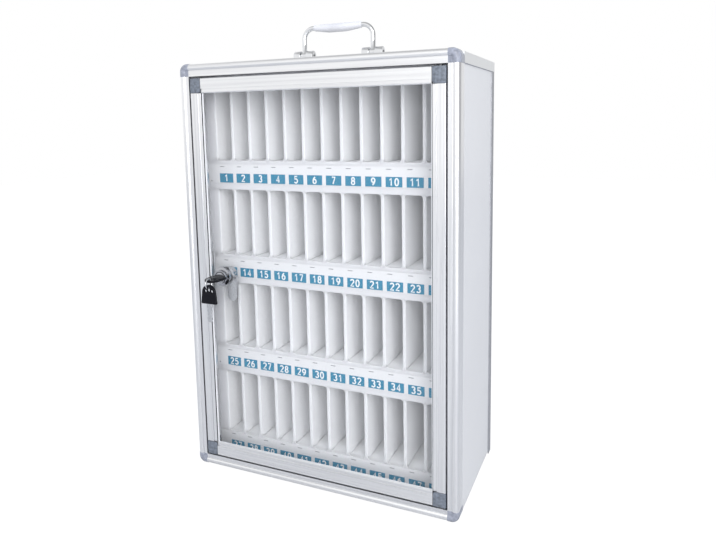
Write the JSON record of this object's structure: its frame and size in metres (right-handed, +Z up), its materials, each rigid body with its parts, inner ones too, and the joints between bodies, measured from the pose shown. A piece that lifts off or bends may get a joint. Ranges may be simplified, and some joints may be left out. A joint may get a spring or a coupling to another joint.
{
  "type": "cell phone locker box",
  "caption": "Portable phone locker with an aluminium frame, a clear lockable door, upright slots in rows with numbered labels, and a folding carrying handle",
  "frame": {"origin": "centre of the underside, midway between the door's face and the back", "axes": "+X to the right seen from the front, +Y to the back, +Z up"},
  "size_m": [0.3508, 0.2024, 0.5629],
  "materials": {
    "aluminium_profile": "satin silver extrusions with fine draw lines",
    "corner_plastic": "blue grey moulded plastic",
    "panel_board": "off white coated board",
    "white_foam": "white close celled foam board",
    "label_card": "white card",
    "number_blue": "teal blue printed plates",
    "zinc_steel": "bright zinc plated steel",
    "chrome_metal": "polished chrome",
    "grey_rubber": "soft grey seal",
    "bush_plastic": "dark grey nylon",
    "key_black": "black moulded heads on plated blades",
    "clear_acrylic": "clear acrylic sheet",
    "grip_plastic": "white moulded grip"
  },
  "bodies": {
    "case": {"rail_top": "aluminium_profile", "rail_bottom": "aluminium_profile", "rail_left": "aluminium_profile", "rail_right": "aluminium_profile", "top_cover": "aluminium_profile", "rear_angle_left": "aluminium_profile", "rear_angle_right": "aluminium_profile", "cap_top_left": "corner_plastic", "cap_top_right": "corner_plastic", "cap_bottom_left": "corner_plastic", "cap_bottom_right": "corner_plastic", "side_panel_left": "panel_board", "side_panel_right": "panel_board", "back_panel": "panel_board", "bottom_panel": "panel_board", "label_cards": "label_card", "number_plates": "number_blue", "strike_plate": "zinc_steel", "strike_rivets": "zinc_steel", "rear_screws": "zinc_steel", "bracket_screws": "zinc_steel", "handle_pins": "zinc_steel", "door_bumpers": "grey_rubber", "upper_bush": "bush_plastic", "lower_bush": "bush_plastic", "bracket_left": "chrome_metal", "bracket_right": "chrome_metal", "shelf_row_1": "white_foam", "dividers_row_1": "white_foam", "strip_row_1": "white_foam", "shelf_row_2": "white_foam", "dividers_row_2": "white_foam", "strip_row_2": "white_foam", "shelf_row_3": "white_foam", "dividers_row_3": "white_foam", "strip_row_3": "white_foam", "shelf_row_4": "white_foam", "dividers_row_4": "white_foam", "strip_row_4": "white_foam", "strip_top": "white_foam", "ceiling_board": "white_foam"},
    "door": {"door_stile_left": "aluminium_profile", "door_stile_right": "aluminium_profile", "door_rail_top": "aluminium_profile", "door_rail_bottom": "aluminium_profile", "door_corner_blocks": "corner_plastic", "door_pivot_blocks": "corner_plastic", "pivot_pins": "zinc_steel", "door_pane": "clear_acrylic", "pane_seal": "grey_rubber", "lock_barrel": "chrome_metal", "lock_nut": "zinc_steel"},
    "lock_plug": {"lock_plug": "chrome_metal", "lock_cam": "zinc_steel", "cam_screw": "zinc_steel"},
    "key": {"key": "key_black"},
    "key_ring": {"key_ring": "chrome_metal"},
    "spare_key": {"spare_key": "key_black"},
    "handle": {"handle_bail": "chrome_metal", "handle_grip": "grip_plastic"}
  },
  "joints": [
    {"name": "door_swing", "type": "hinge", "parent": "case", "child": "door", "pos_m": [0.153, -0.08, 0.256], "axis": [0, 0, 1], "range_deg": [0, 115]},
    {"name": "lock_turn", "type": "hinge", "parent": "door", "child": "lock_plug", "pos_m": [-0.127, -0.085, 0.254], "axis": [0, 1, 0], "range_deg": [0, 90]},
    {"name": "key_pull", "type": "slide", "parent": "lock_plug", "child": "key", "axis": [0, 1, 0], "range_m": [-0.024, 0]},
    {"name": "ring_swing", "type": "hinge", "parent": "key", "child": "key_ring", "pos_m": [-0.127, -0.1109, 0.254], "axis": [1, 0, 0], "range_deg": [-85, 15]},
    {"name": "spare_key_swing", "type": "hinge", "parent": "key_ring", "child": "spare_key", "pos_m": [-0.127, -0.1109, 0.24844], "axis": [1, 0, 0], "range_deg": [-85, 10]},
    {"name": "handle_fold", "type": "hinge", "parent": "case", "child": "handle", "pos_m": [0, 0, 0.525], "axis": [1, 0, 0], "range_deg": [-90, 90]}
  ]
}
